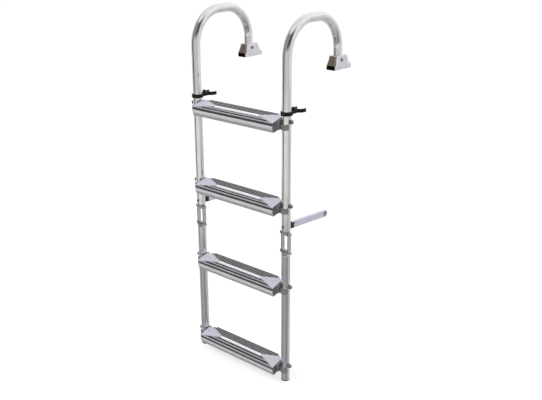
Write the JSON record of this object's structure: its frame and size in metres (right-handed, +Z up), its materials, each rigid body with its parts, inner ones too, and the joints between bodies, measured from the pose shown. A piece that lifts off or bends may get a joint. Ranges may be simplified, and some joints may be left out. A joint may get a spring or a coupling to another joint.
{
  "type": "folding bow ladder",
  "caption": "Boat boarding ladder with hooked tubular stiles in deck sockets, ribbed treads, a mid-height fold and folding stand-off arms.",
  "frame": {"origin": "on the flat underside of the left deck socket, on the axis of the hook's leg", "axes": "+X along the treads from the left stile to the right one, +Y from the climber to the boat, +Z up along the stiles"},
  "size_m": [0.3694, 0.3009, 1.0387],
  "materials": {
    "stainless_tube": "polished stainless tube",
    "cast_stainless": "polished casting",
    "hinge_steel": "polished bar",
    "fasteners": "plain stainless fasteners",
    "tread_grey": "moulded, ribbed top",
    "collar_grey": "moulded",
    "black_plastic": "moulded black",
    "arm_aluminium": "satin"
  },
  "bodies": {
    "upper_section": {"clip_screws": "black_plastic", "left_upper_stile": "stainless_tube", "left_deck_socket": "cast_stainless", "left_socket_pin": "fasteners", "left_upper_hinge_plug": "hinge_steel", "left_stow_clip": "black_plastic", "left_standoff_bracket": "black_plastic", "left_bracket_screw": "fasteners", "left_standoff_pin": "fasteners", "right_upper_stile": "stainless_tube", "right_deck_socket": "cast_stainless", "right_socket_pin": "fasteners", "right_upper_hinge_plug": "hinge_steel", "right_stow_clip": "black_plastic", "right_standoff_bracket": "black_plastic", "right_bracket_screw": "fasteners", "right_standoff_pin": "fasteners", "step_1_tread": "tread_grey", "step_1_bolts": "fasteners", "step_1_left_collar": "collar_grey", "step_1_right_collar": "collar_grey", "step_2_tread": "tread_grey", "step_2_bolts": "fasteners", "step_2_left_collar": "collar_grey", "step_2_right_collar": "collar_grey"},
    "lower_section": {"left_lower_stile": "stainless_tube", "left_lower_hinge_plug": "hinge_steel", "left_foot_plug": "black_plastic", "right_lower_stile": "stainless_tube", "right_lower_hinge_plug": "hinge_steel", "right_foot_plug": "black_plastic", "step_3_tread": "tread_grey", "step_3_bolts": "fasteners", "step_3_left_collar": "collar_grey", "step_3_right_collar": "collar_grey", "step_4_tread": "tread_grey", "step_4_bolts": "fasteners", "step_4_left_collar": "collar_grey", "step_4_right_collar": "collar_grey"},
    "hinge_links": {"left_hinge_straps": "hinge_steel", "left_hinge_bolts": "fasteners", "right_hinge_straps": "hinge_steel", "right_hinge_bolts": "fasteners"},
    "left_arm": {"left_standoff_arm": "arm_aluminium"},
    "right_arm": {"right_standoff_arm": "arm_aluminium"}
  },
  "joints": [
    {"name": "link_fold", "type": "hinge", "parent": "upper_section", "child": "hinge_links", "pos_m": [0.162, -0.218, -0.416], "axis": [1, 0, 0], "range_deg": [0, 90]},
    {"name": "lower_fold", "type": "hinge", "parent": "hinge_links", "child": "lower_section", "pos_m": [0.162, -0.218, -0.471], "axis": [1, 0, 0], "range_deg": [0, 90]},
    {"name": "left_arm_fold", "type": "hinge", "parent": "upper_section", "child": "left_arm", "pos_m": [0, -0.1905, -0.398], "axis": [1, 0, 0], "range_deg": [0, 94.5]},
    {"name": "right_arm_fold", "type": "hinge", "parent": "upper_section", "child": "right_arm", "pos_m": [0.324, -0.1905, -0.398], "axis": [1, 0, 0], "range_deg": [0, 94.5]}
  ],
  "couplings": [
    {"joint": "left_arm_fold", "follows": "link_fold", "ratio": 1.05},
    {"joint": "right_arm_fold", "follows": "link_fold", "ratio": 1.05}
  ]
}
